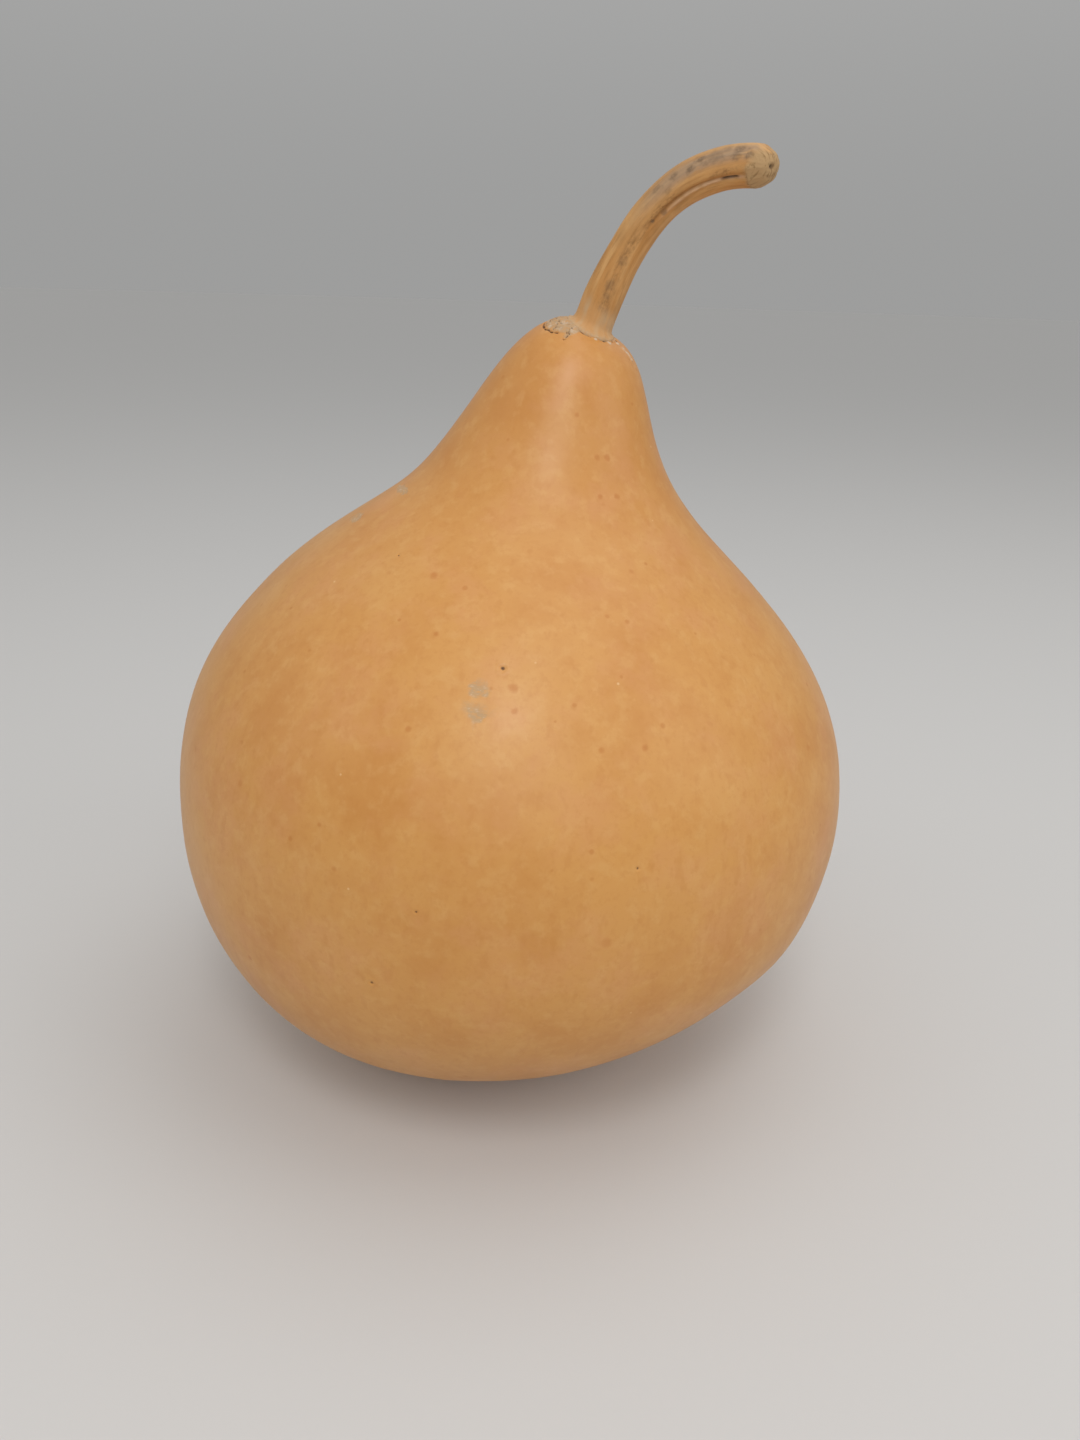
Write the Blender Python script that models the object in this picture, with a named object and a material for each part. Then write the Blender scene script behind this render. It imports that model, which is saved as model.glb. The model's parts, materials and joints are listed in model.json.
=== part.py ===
"""A dried calabash (bottle gourd) with its curved stalk, resting on a small flat spot.

Metres, +Z up. The origin is the middle of the flat spot under the belly. The stalk
curls towards +X and a little towards -Y, the front.

The fruit is one solid: an outline turned about its own axis, which is then curved in
the belly, bent at the neck, leant to rest, and cut flat where the fruit stands. The
stalk is a second solid that sits on the flat crown of the neck.
"""

import math

import bmesh
import bpy
from mathutils import Matrix, Vector

# Outline of the fruit, as radii and heights along its own axis. Each reach is how far
# the outline keeps its direction on leaving or meeting a point.
BELLY_RADIUS = 0.100
BELLY_RISE = 0.0805
UNDERSIDE_REACH = 0.058
BELLY_REACH_DOWN = 0.0465
BELLY_REACH_UP = 0.0245
WAIST_RADIUS = 0.049
WAIST_RISE = 0.0845
WAIST_SLOPE = math.radians(55.0)
WAIST_REACH_DOWN = 0.0555
WAIST_REACH_UP = 0.032
NECK_RISE = 0.0535
CROWN_RADIUS = 0.0075
CROWN_SLOPE = math.radians(77.0)
CROWN_REACH = 0.0158

# How the fruit's axis curves, and how the fruit stands. The belly curves towards +X
# going down to the blossom end, and the neck bends over between +X and -Y.
BELLY_CURVE = math.radians(15.8)
NECK_BEND = math.radians(14.5)
NECK_BEND_TURN = math.radians(-35.0)
NECK_BEND_LENGTH = 0.044
LEAN = math.radians(6.2)
FLAT_DEPTH = 0.0026

# Stalk, in the crown's own frame: its tip's place, how far it keeps its direction at
# each end, and which way its tip points.
STALK_RADIUS = 0.00525
STALK_TIP_RADIUS = 0.00545
STALK_TIP = Vector((0.0247, -0.0130, 0.0513))
STALK_FOOT_REACH = 0.011
STALK_TIP_REACH = 0.032
STALK_TIP_TURN = math.radians(-32.0)
STALK_TIP_CLIMB = math.radians(13.0)
STALK_FLARE_LENGTH = 0.0035
STALK_RIBS = 5
STALK_RIB_DEPTH = 0.06
STALK_CUT_ANGLE = math.radians(14.0)
STALK_CUT_SPARE = 0.004
FOOT_MARGIN = 0.0003

# The stalk stands this far off the crown, because two solids may not touch.
SEAT_GAP = 0.0003

# Fineness of the facets.
FRUIT_SIDES = 56
UNDERSIDE_STEPS = 16
SHOULDER_STEPS = 10
NECK_STEPS = 16
STALK_STEPS = 24
STALK_SIDES = 6 * STALK_RIBS
MERGE_DISTANCE = 1e-6

BELLY_HEIGHT = BELLY_RISE
WAIST_HEIGHT = BELLY_HEIGHT + WAIST_RISE
CROWN_HEIGHT = WAIST_HEIGHT + NECK_RISE
BEND_START = CROWN_HEIGHT - NECK_BEND_LENGTH


def clear_scene():
    """Removes every object of the scene."""
    for old in list(bpy.data.objects):
        bpy.data.objects.remove(old)


def principled(name, colour, roughness):
    """A plain non-metallic material of one colour."""
    material = bpy.data.materials.new(name)
    material.use_nodes = True
    shader = material.node_tree.nodes["Principled BSDF"]
    shader.inputs["Base Color"].default_value = (*colour, 1.0)
    shader.inputs["Roughness"].default_value = roughness
    shader.inputs["Metallic"].default_value = 0.0
    return material


def cubic(start, leave, meet, end, t):
    """The point at t, from 0 to 1, on a cubic curve."""
    s = 1.0 - t
    return s**3 * start + 3 * s * s * t * leave + 3 * s * t * t * meet + t**3 * end


def inward(slope):
    """The outline's direction where it climbs inwards, slope away from the axis."""
    return Vector((-math.sin(slope), 0.0, math.cos(slope)))


def fruit_outline():
    """Points of the half outline, from the blossom end on the axis to the crown."""
    blossom_end = Vector((0.0, 0.0, 0.0))
    belly = Vector((BELLY_RADIUS, 0.0, BELLY_HEIGHT))
    waist = Vector((WAIST_RADIUS, 0.0, WAIST_HEIGHT))
    crown = Vector((CROWN_RADIUS, 0.0, CROWN_HEIGHT))
    at_waist = inward(WAIST_SLOPE)
    at_crown = inward(CROWN_SLOPE)
    stretches = (
        (
            blossom_end,
            blossom_end + Vector((UNDERSIDE_REACH, 0.0, 0.0)),
            belly - Vector((0.0, 0.0, BELLY_REACH_DOWN)),
            belly,
            UNDERSIDE_STEPS,
        ),
        (
            belly,
            belly + Vector((0.0, 0.0, BELLY_REACH_UP)),
            waist - at_waist * WAIST_REACH_DOWN,
            waist,
            SHOULDER_STEPS,
        ),
        (
            waist,
            waist + at_waist * WAIST_REACH_UP,
            crown - at_crown * CROWN_REACH,
            crown,
            NECK_STEPS,
        ),
    )
    points = [blossom_end]
    for start, leave, meet, end, steps in stretches:
        points += [cubic(start, leave, meet, end, i / steps) for i in range(1, steps + 1)]
    return points


def arc_frame(length, turn):
    """The far end of an arc that starts upwards at the origin and turns towards +X."""
    radius = length / turn
    reach = Vector((radius * (1.0 - math.cos(turn)), 0.0, radius * math.sin(turn)))
    return Matrix.Translation(reach) @ Matrix.Rotation(turn, 4, "Y")


def axis_frame(height):
    """The place and turn of the fruit's curved axis at a height along it."""
    below = BELLY_HEIGHT - height
    if below > 0.0:
        start = Matrix.Translation((0.0, 0.0, BELLY_HEIGHT))
        return start @ arc_frame(-below, -BELLY_CURVE * below / BELLY_HEIGHT)
    past = height - BEND_START
    if past > 0.0:
        start = Matrix.Translation((0.0, 0.0, BEND_START))
        bend = arc_frame(past, NECK_BEND * past / NECK_BEND_LENGTH)
        turned = Matrix.Rotation(NECK_BEND_TURN, 4, "Z")
        return start @ turned @ bend @ turned.inverted()
    return Matrix.Translation((0.0, 0.0, height))


def turned_outline():
    """The outline turned about the axis, with its crown closed flat."""
    mesh = bmesh.new()
    points = [mesh.verts.new(p) for p in fruit_outline()]
    line = [mesh.edges.new(pair) for pair in zip(points, points[1:])]
    bmesh.ops.spin(
        mesh,
        geom=points + line,
        cent=(0.0, 0.0, 0.0),
        axis=(0.0, 0.0, 1.0),
        angle=math.tau,
        steps=FRUIT_SIDES,
        use_duplicate=False,
    )
    bmesh.ops.remove_doubles(mesh, verts=mesh.verts, dist=MERGE_DISTANCE)
    rim = [edge for edge in mesh.edges if edge.is_boundary]
    bmesh.ops.contextual_create(mesh, geom=rim)
    return mesh


def cut_flat(mesh):
    """Cuts the flat spot and gives the point at its middle."""
    floor = min(vert.co.z for vert in mesh.verts) + FLAT_DEPTH
    everything = mesh.verts[:] + mesh.edges[:] + mesh.faces[:]
    bmesh.ops.bisect_plane(
        mesh,
        geom=everything,
        plane_co=(0.0, 0.0, floor),
        plane_no=(0.0, 0.0, -1.0),
        clear_outer=True,
    )
    rim = [edge for edge in mesh.edges if edge.is_boundary]
    spot = bmesh.ops.contextual_create(mesh, geom=rim)["faces"][0]
    return spot.calc_center_median_weighted()


def finish(mesh, name, material):
    """Turns a closed mesh into the named object, shaded smooth with its cuts sharp."""
    bmesh.ops.recalc_face_normals(mesh, faces=mesh.faces)
    data = bpy.data.meshes.new(name)
    mesh.to_mesh(data)
    mesh.free()
    data.shade_smooth()
    data.set_sharp_from_angle(angle=math.radians(35.0))
    data.materials.append(material)
    part = bpy.data.objects.new(name, data)
    bpy.context.scene.collection.objects.link(part)
    return part


def make_fruit():
    """Builds the fruit and gives the frame of its crown, where the stalk sits."""
    mesh = turned_outline()
    for vert in mesh.verts:
        height = vert.co.z
        level = Vector((vert.co.x, vert.co.y, 0.0))
        vert.co = axis_frame(height) @ level
    leaning = Matrix.Rotation(LEAN, 4, "Y")
    bmesh.ops.transform(mesh, matrix=leaning, verts=mesh.verts)
    standing = Matrix.Translation(-cut_flat(mesh))
    bmesh.ops.transform(mesh, matrix=standing, verts=mesh.verts)
    finish(mesh, "gourd", principled("gourd_skin", (0.58, 0.30, 0.11), 0.45))
    return standing @ leaning @ axis_frame(CROWN_HEIGHT)


def stalk_radius(run):
    """The stalk's radius at a distance along it: flared at the foot, fuller at the tip."""
    foot_radius = (CROWN_RADIUS - FOOT_MARGIN) / (1.0 + STALK_RIB_DEPTH)
    flare = (foot_radius - STALK_RADIUS) * math.exp(-run / STALK_FLARE_LENGTH)
    share = min(run / STALK_TIP.length, 1.0)
    return STALK_RADIUS + flare + (STALK_TIP_RADIUS - STALK_RADIUS) * share**2


def stalk_route():
    """Points along the stalk's middle, in the crown's frame, and its tip's direction."""
    pointing = Vector(
        (
            math.cos(STALK_TIP_CLIMB) * math.cos(STALK_TIP_TURN),
            math.cos(STALK_TIP_CLIMB) * math.sin(STALK_TIP_TURN),
            math.sin(STALK_TIP_CLIMB),
        )
    )
    foot = Vector((0.0, 0.0, SEAT_GAP))
    leave = foot + Vector((0.0, 0.0, STALK_FOOT_REACH))
    meet = STALK_TIP - pointing * STALK_TIP_REACH
    route = [cubic(foot, leave, meet, STALK_TIP, i / STALK_STEPS) for i in range(STALK_STEPS + 1)]
    route.append(STALK_TIP + pointing * STALK_CUT_SPARE)
    return route, pointing


def ribbed_ring(mesh, centre, along, radius):
    """Adds one ring of the stalk's ribbed section, square to its route."""
    side = Vector((0.0, 1.0, 0.0)).cross(along).normalized()
    front = along.cross(side)
    ring = []
    for i in range(STALK_SIDES):
        angle = math.tau * i / STALK_SIDES
        reach = radius * (1.0 + STALK_RIB_DEPTH * math.cos(STALK_RIBS * angle))
        ring.append(mesh.verts.new(centre + reach * (math.cos(angle) * side + math.sin(angle) * front)))
    return ring


def make_stalk(crown):
    """Builds the stalk on the crown, swept along its route and cut across its tip."""
    mesh = bmesh.new()
    route, pointing = stalk_route()
    run = 0.0
    rings = []
    for i, centre in enumerate(route):
        before = route[max(i - 1, 0)]
        after = route[min(i + 1, len(route) - 1)]
        along = (after - before).normalized() if i else Vector((0.0, 0.0, 1.0))
        run += (centre - before).length
        rings.append(ribbed_ring(mesh, centre, along, stalk_radius(run)))
    for lower, upper in zip(rings, rings[1:]):
        for i in range(STALK_SIDES):
            j = (i + 1) % STALK_SIDES
            mesh.faces.new((lower[i], lower[j], upper[j], upper[i]))
    mesh.faces.new(reversed(rings[0]))
    mesh.faces.new(rings[-1])
    cut = Matrix.Rotation(-STALK_CUT_ANGLE, 3, "Z") @ pointing
    bmesh.ops.bisect_plane(
        mesh,
        geom=mesh.verts[:] + mesh.edges[:] + mesh.faces[:],
        plane_co=STALK_TIP,
        plane_no=cut,
        clear_outer=True,
    )
    rim = [edge for edge in mesh.edges if edge.is_boundary]
    bmesh.ops.contextual_create(mesh, geom=rim)
    bmesh.ops.transform(mesh, matrix=crown, verts=mesh.verts)
    return finish(mesh, "stem", principled("dry_stalk", (0.42, 0.23, 0.09), 0.7))


def main():
    clear_scene()
    crown = make_fruit()
    make_stalk(crown)


main()
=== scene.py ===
"""Finished looks of a dried calabash with its curved stalk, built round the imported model.

Laid out as an add-on: a sidebar panel lists one operator for the gourd, one for its stalk
and one for the stage, and each reads its sizes and colours from the scene's settings.
"""

import json
import math

import bmesh
import bpy
import numpy as np
from bpy.props import FloatProperty, FloatVectorProperty, PointerProperty
from mathutils import Matrix, Vector, noise
from mathutils.bvhtree import BVHTree

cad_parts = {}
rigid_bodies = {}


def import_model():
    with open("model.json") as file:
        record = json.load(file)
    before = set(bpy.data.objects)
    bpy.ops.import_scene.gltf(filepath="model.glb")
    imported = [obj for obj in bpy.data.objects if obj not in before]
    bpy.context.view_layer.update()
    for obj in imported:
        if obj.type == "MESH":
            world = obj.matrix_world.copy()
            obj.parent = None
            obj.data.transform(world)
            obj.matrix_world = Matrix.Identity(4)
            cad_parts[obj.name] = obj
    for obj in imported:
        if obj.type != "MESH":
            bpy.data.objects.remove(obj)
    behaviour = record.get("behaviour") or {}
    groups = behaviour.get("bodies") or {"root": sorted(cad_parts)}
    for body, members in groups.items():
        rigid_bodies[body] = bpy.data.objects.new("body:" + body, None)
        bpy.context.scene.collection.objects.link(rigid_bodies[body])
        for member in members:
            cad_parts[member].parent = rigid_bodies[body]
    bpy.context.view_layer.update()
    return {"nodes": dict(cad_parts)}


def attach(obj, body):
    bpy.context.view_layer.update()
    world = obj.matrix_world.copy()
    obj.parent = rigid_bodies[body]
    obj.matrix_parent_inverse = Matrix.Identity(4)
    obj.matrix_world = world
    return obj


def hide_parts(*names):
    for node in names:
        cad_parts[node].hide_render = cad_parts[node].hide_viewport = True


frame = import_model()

bl_info = {
    "name": "Calabash workshop",
    "version": (1, 0, 0),
    "blender": (4, 5, 0),
    "location": "3D View > Sidebar > Calabash",
    "description": "Models and finishes a dried calabash and its stalk",
    "category": "Add Mesh",
}

MM = 0.001

# The crown is the small level top of the neck, where the stalk has grown on.
CROWN_MIDDLE = Vector((0.036575, -0.003176, 0.2157))
LEAN = math.radians(6.2)
NECK_BEND = math.radians(14.5)
NECK_BEND_TURN = math.radians(-35.0)
BEND_TURNED = Matrix.Rotation(NECK_BEND_TURN, 4, "Z")
CROWN = (
    Matrix.Translation(CROWN_MIDDLE)
    @ Matrix.Rotation(LEAN, 4, "Y")
    @ BEND_TURNED
    @ Matrix.Rotation(NECK_BEND, 4, "Y")
    @ BEND_TURNED.inverted()
)

# The stalk's route in the crown's frame.
SEAT_GAP = 0.0003
STALK_TIP = Vector((0.0247, -0.0130, 0.0513))
STALK_FOOT_REACH = 0.011
STALK_TIP_REACH = 0.032
STALK_TIP_TURN = math.radians(-32.0)
STALK_TIP_CLIMB = math.radians(13.0)
STALK_CUT_ANGLE = math.radians(14.0)

# The line that turns are measured round: upright at first, then leaning to +X.
AXIS_MIDDLE = 0.0165
AXIS_LEAN_HEIGHT = 0.08
AXIS_LEAN = 0.12
AXIS_STEEPENING = 1.2

# Swells and hollows of the belly: turn from the front in degrees, height, width, push.
SWELLS = (
    (-78.0, 170 * MM, 13 * MM, 0.7 * MM),
    (-80.0, 143 * MM, 18 * MM, -0.7 * MM),
    (88.0, 146 * MM, 18 * MM, -0.3 * MM),
    (76.0, 112 * MM, 55 * MM, 1.3 * MM),
    (62.0, 41 * MM, 14 * MM, 1.2 * MM),
    (68.0, 62 * MM, 14 * MM, -0.8 * MM),
    (150.0, 118 * MM, 30 * MM, 0.6 * MM),
    (-150.0, 95 * MM, 26 * MM, -0.5 * MM),
)

# Pinholes and dry pits of the rind: turn in degrees, height and radius.
PITS = (
    (-6.7, 143.5 * MM, 0.65 * MM),
    (18.2, 102.0 * MM, 0.45 * MM),
    (-11.2, 92.0 * MM, 0.4 * MM),
    (-17.0, 70.0 * MM, 0.55 * MM),
    (-43.0, 162.0 * MM, 0.4 * MM),
    (104.0, 118.0 * MM, 0.5 * MM),
    (158.0, 84.0 * MM, 0.6 * MM),
    (-122.0, 132.0 * MM, 0.5 * MM),
)

# Dry scuffs: turn in degrees, height, length across and length down.
SCUFFS = (
    (-10.0, 139.3 * MM, 2.9 * MM, 1.6 * MM),
    (-9.1, 135.2 * MM, 2.5 * MM, 2.1 * MM),
    (-76.0, 165.0 * MM, 4.0 * MM, 1.2 * MM),
    (-74.0, 173.0 * MM, 5.0 * MM, 0.9 * MM),
    (131.0, 109.0 * MM, 4.0 * MM, 2.0 * MM),
    (-163.0, 148.0 * MM, 3.0 * MM, 4.0 * MM),
)

# Plain freckles that stand out on the neck and belly: turn, height and radius.
FRECKLES = (
    (-29.6, 159.5 * MM, 1.5 * MM),
    (14.7, 185.4 * MM, 1.1 * MM),
    (20.9, 185.3 * MM, 1.3 * MM),
    (16.3, 176.4 * MM, 1.0 * MM),
    (25.1, 176.1 * MM, 1.2 * MM),
    (-0.1, 195.7 * MM, 0.9 * MM),
    (-3.0, 135.5 * MM, 1.2 * MM),
    (-4.1, 139.9 * MM, 1.7 * MM),
    (19.1, 127.1 * MM, 1.1 * MM),
    (-21.4, 149.0 * MM, 1.0 * MM),
)

# Dark weathered spots of the stalk: run along it, turn round it, radius and strength.
STALK_SPOTS = (
    (9.5 * MM, -87.0, 1.0 * MM, 0.40),
    (12.5 * MM, -90.0, 1.5 * MM, 0.42),
    (18.8 * MM, -84.0, 1.3 * MM, 0.38),
    (31.6 * MM, -72.0, 0.6 * MM, 0.95),
    (35.5 * MM, -66.0, 0.9 * MM, 0.60),
    (37.1 * MM, -136.0, 1.2 * MM, 0.50),
    (39.6 * MM, -104.0, 1.0 * MM, 0.45),
    (42.3 * MM, -131.0, 1.2 * MM, 0.65),
    (46.6 * MM, -121.0, 1.1 * MM, 0.95),
    (49.5 * MM, -137.0, 1.1 * MM, 0.85),
    (50.6 * MM, -115.0, 0.9 * MM, 0.45),
    (52.8 * MM, -127.0, 1.9 * MM, 0.50),
    (56.0 * MM, -145.0, 1.1 * MM, 0.40),
    (58.8 * MM, -137.0, 1.5 * MM, 0.70),
    (58.4 * MM, -113.0, 1.3 * MM, 0.60),
    (61.6 * MM, -112.0, 1.1 * MM, 0.80),
    (34.0 * MM, 118.0, 1.2 * MM, 0.50),
    (41.0 * MM, 136.0, 1.4 * MM, 0.65),
    (46.0 * MM, 122.0, 1.0 * MM, 0.80),
    (51.0 * MM, 140.0, 1.6 * MM, 0.55),
    (56.0 * MM, 126.0, 1.2 * MM, 0.70),
    (22.0 * MM, 64.0, 1.3 * MM, 0.40),
    (14.0 * MM, 150.0, 1.2 * MM, 0.35),
)

# Pale flakes by the stalk's foot, in the crown's frame: across, up and width in mm.
FLAKES = ((5.1, -6.6, 1.0), (1.4, -8.6, 0.5), (7.6, -3.5, 0.8), (-4.6, 8.2, 0.9))

# Ribs of the stalk's back and sides: turn and width in degrees, and height share.
RIBS = ((32.0, 15.0, 0.7), (93.0, 16.0, 0.9), (150.0, 17.0, 0.8), (-165.0, 18.0, 0.55))

# The cut end: how far it domes, and the sunken pith's place and radius on it.
CUT_DOME = 2.7 * MM
PITH_ACROSS = 0.4 * MM
PITH_BELOW = 0.9 * MM
PITH_RADIUS = 0.62 * MM

# Lesser colours of the rind and of the cork round the foot.
ROSY_RIND = (0.625, 0.288, 0.112)
PALE_SPECK = (0.86, 0.66, 0.38)
CHALKY_SCUFF = (0.62, 0.49, 0.36)
BROWN_CORK = (0.36, 0.20, 0.085)
CHALKY_CORK = (0.60, 0.48, 0.35)
FLAKE = (0.66, 0.54, 0.40)

# Lesser colours of the stalk.
RUBBED_LIP = (0.70, 0.47, 0.31)
FOOT_TAN = (0.60, 0.315, 0.115)
FOOT_PALE = (0.56, 0.38, 0.21)
FOOT_EDGE = (0.50, 0.36, 0.215)
BROWN_STRAW = (0.25, 0.145, 0.055)
# Painted shade: the near-black colour painted inside the slit, the pores and the sunken pith.
SLIT_SHADE = (0.055, 0.026, 0.012)

# The stage: the place that the lights aim at, the lights, and the camera's place.
STAGE_MIDDLE = (0.02, 0.0, 0.11)
SOFTBOXES = (
    ("key_light", (0.36, 0.05, 1.25), 0.9, "key_power", (1.0, 0.985, 0.965)),
    ("front_light", (0.10, -1.25, 0.90), 0.9, "front_power", (1.0, 0.985, 0.97)),
    ("left_light", (-1.30, -0.35, 0.85), 0.9, "left_power", (1.0, 0.985, 0.97)),
    ("right_light", (1.30, -0.50, 0.85), 0.9, "right_power", (1.0, 0.985, 0.97)),
    ("sheen_light", (0.03, -0.62, 0.95), 0.26, "sheen_power", (1.0, 0.96, 0.94)),
)
CAMERA_PLACE = (0.0261, -0.3104, 0.2267)
SENSOR_WIDTH = 36.0

# Fineness of the meshes.
STALK_LINE_STEPS = 600
CROWN_RINGS = 6
CROWN_RING_CUTS = 5
MARK_CUTS = 7
STALK_SIDES = 168
SKIRT_ROWS = 18
WALL_ROWS = 330
RIM_ROWS = 8
CUT_ROWS = 34
MERGE_DISTANCE = 1e-6
FLOOR_RADIUS = 15.0


# What most colour settings have in common.
COLOUR = {"size": 3, "subtype": "COLOR", "min": 0.0, "max": 1.0}


class GourdSettings(bpy.types.PropertyGroup):
    """Sizes and colours of the gourd."""

    unevenness: FloatProperty(
        name="Unevenness",
        description="How far the rind swells and sinks over a few centimetres",
        default=0.35 * MM,
        min=0.0,
        unit="LENGTH",
    )
    dimpling: FloatProperty(
        name="Dimpling",
        description="How far the rind dimples over a few millimetres",
        default=0.035 * MM,
        min=0.0,
        unit="LENGTH",
    )
    scab_height: FloatProperty(
        name="Scab height",
        description="How far the cork round the stalk's foot stands up",
        default=0.24 * MM,
        min=0.0,
        unit="LENGTH",
    )
    rind: FloatVectorProperty(
        name="Rind",
        description="Main colour of the rind",
        default=(0.618, 0.300, 0.076),
        **COLOUR,
    )
    deep_rind: FloatVectorProperty(
        name="Deep rind",
        description="Colour of the rind's deeper orange clouds",
        default=(0.530, 0.215, 0.040),
        **COLOUR,
    )
    pale_rind: FloatVectorProperty(
        name="Pale rind",
        description="Colour of the rind's paler clouds",
        default=(0.680, 0.385, 0.135),
        **COLOUR,
    )
    freckle: FloatVectorProperty(
        name="Freckle",
        description="Colour of the freckles",
        default=(0.470, 0.145, 0.014),
        **COLOUR,
    )
    scuff: FloatVectorProperty(
        name="Scuff",
        description="Colour of the dry scuffs",
        default=(0.455, 0.325, 0.195),
        **COLOUR,
    )
    cork: FloatVectorProperty(
        name="Cork",
        description="Colour of the flaky cork round the stalk's foot",
        default=(0.455, 0.325, 0.195),
        **COLOUR,
    )
    # Painted shade: a near-black colour painted inside the cracks and pits, and on the tiny pin
    # specks.
    crack: FloatVectorProperty(
        name="Crack",
        description="Colour inside the cracks and pits",
        default=(0.070, 0.032, 0.014),
        **COLOUR,
    )


class StalkSettings(bpy.types.PropertyGroup):
    """Sizes and colours of the stalk."""

    radius: FloatProperty(
        name="Radius",
        description="Radius of the stalk above its foot",
        default=5.30 * MM,
        min=1.0 * MM,
        unit="LENGTH",
    )
    tip_radius: FloatProperty(
        name="Tip radius",
        description="Radius of the stalk at its cut end",
        default=5.42 * MM,
        min=1.0 * MM,
        unit="LENGTH",
    )
    rib_height: FloatProperty(
        name="Rib height",
        description="How far the ribs stand up along the upper stalk",
        default=0.38 * MM,
        min=0.0,
        unit="LENGTH",
    )
    groove_depth: FloatProperty(
        name="Groove depth",
        description="Depth of the long groove at the front",
        default=0.5 * MM,
        min=0.0,
        unit="LENGTH",
    )
    flattening: FloatProperty(
        name="Flattening",
        description="How much flatter the stalk is along the outside of its curve",
        default=1.05 * MM,
        unit="LENGTH",
    )
    rim_round: FloatProperty(
        name="Rim rounding",
        description="Rounding where the side meets the cut end",
        default=1.9 * MM,
        min=0.1 * MM,
        unit="LENGTH",
    )
    bark: FloatVectorProperty(
        name="Bark",
        description="Main colour of the dry stalk",
        default=(0.500, 0.232, 0.060),
        **COLOUR,
    )
    ridge: FloatVectorProperty(
        name="Ridge",
        description="Colour of the rubbed ridges",
        default=(0.610, 0.335, 0.120),
        **COLOUR,
    )
    groove: FloatVectorProperty(
        name="Groove",
        description="Colour of the grooves and mottling",
        default=(0.245, 0.112, 0.030),
        **COLOUR,
    )
    weathered: FloatVectorProperty(
        name="Weathered",
        description="Colour of the grey film along the upper side",
        default=(0.335, 0.240, 0.162),
        **COLOUR,
    )
    mould: FloatVectorProperty(
        name="Blotch",
        description="Colour of the dark blotches along the upper side",
        default=(0.130, 0.082, 0.046),
        **COLOUR,
    )
    straw: FloatVectorProperty(
        name="Straw",
        description="Colour of the cut end",
        default=(0.450, 0.286, 0.134),
        **COLOUR,
    )


class StageSettings(bpy.types.PropertyGroup):
    """Floor, lights and camera."""

    floor_colour: FloatVectorProperty(
        name="Floor",
        description="Colour of the floor",
        default=(0.620, 0.615, 0.608),
        **COLOUR,
    )
    key_power: FloatProperty(
        name="Key power",
        description="Power of the overhead softbox, in watts",
        default=2.8,
        min=0.0,
    )
    sheen_power: FloatProperty(
        name="Sheen power",
        description="Power of the light that draws the sheen on the neck, in watts",
        default=1.9,
        min=0.0,
    )
    front_power: FloatProperty(
        name="Front power",
        description="Power of the softbox above the camera, in watts",
        default=4.1,
        min=0.0,
    )
    left_power: FloatProperty(
        name="Left power",
        description="Power of the softbox to the left, in watts",
        default=1.6,
        min=0.0,
    )
    right_power: FloatProperty(
        name="Right power",
        description="Power of the softbox to the right, in watts",
        default=3.1,
        min=0.0,
    )
    low_sky: FloatVectorProperty(
        name="Low sky",
        description="Colour of the even light near the horizon",
        default=(0.340, 0.340, 0.337),
        size=3,
        subtype="COLOR",
        min=0.0,
    )
    high_sky: FloatVectorProperty(
        name="High sky",
        description="Colour of the even light overhead",
        default=(0.58, 0.58, 0.574),
        size=3,
        subtype="COLOR",
        min=0.0,
    )
    lens: FloatProperty(
        name="Lens",
        description="Focal length of the camera, in millimetres",
        default=27.0,
        min=1.0,
    )
    pitch: FloatProperty(
        name="Pitch",
        description="How far the camera looks down",
        default=math.radians(22.0),
        subtype="ANGLE",
    )
    roll: FloatProperty(
        name="Roll",
        description="How far the camera is tilted to its left",
        default=math.radians(1.8),
        subtype="ANGLE",
    )


def pick_only(piece):
    """Selects one object and makes it the active one."""
    bpy.ops.object.select_all(action="DESELECT")
    piece.select_set(True)
    bpy.context.view_layer.objects.active = piece


def select_faces(piece, wanted):
    """In edit mode, selects exactly the faces for which wanted(face) is true."""
    mesh = bmesh.from_edit_mesh(piece.data)
    bpy.ops.mesh.select_mode(type="FACE")
    bpy.ops.mesh.select_all(action="DESELECT")
    for face in mesh.faces:
        face.select_set(bool(wanted(face)))
    mesh.select_flush_mode()
    bmesh.update_edit_mesh(piece.data)


def select_edges(piece, wanted):
    """In edit mode, selects exactly the edges for which wanted(edge) is true."""
    bpy.ops.mesh.select_mode(type="EDGE")
    bpy.ops.mesh.select_all(action="DESELECT")
    mesh = bmesh.from_edit_mesh(piece.data)
    for edge in mesh.edges:
        edge.select_set(bool(wanted(edge)))
    mesh.select_flush_mode()
    bmesh.update_edit_mesh(piece.data)


def subdivide_surface(piece):
    """Applies one level of Subdivision Surface."""
    smoother = piece.modifiers.new("smoother", "SUBSURF")
    smoother.levels = smoother.render_levels = 1
    bpy.ops.object.modifier_apply(modifier=smoother.name)


def places_of(piece):
    """The piece's points, as an array of rows."""
    flat = np.empty(len(piece.data.vertices) * 3)
    piece.data.vertices.foreach_get("co", flat)
    return flat.reshape(-1, 3)


def directions_of(piece):
    """The outward direction at each of the piece's points."""
    flat = np.empty(len(piece.data.vertices) * 3)
    piece.data.vertex_normals.foreach_get("vector", flat)
    return flat.reshape(-1, 3)


def place_points(piece, points):
    """Moves the piece's points to the given rows."""
    piece.data.vertices.foreach_set("co", points.ravel())
    piece.data.update()


def keep_values(piece, name, values):
    """Stores a number for each point, which a finish can read by name."""
    store = piece.data.attributes.new(name, "FLOAT", "POINT")
    store.data.foreach_set("value", np.asarray(values, np.float32))


def rise(low, high, value):
    """0 below low and 1 above high, with a smooth climb between."""
    t = np.clip((value - low) / (high - low), 0.0, 1.0)
    return t * t * (3.0 - 2.0 * t)


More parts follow.
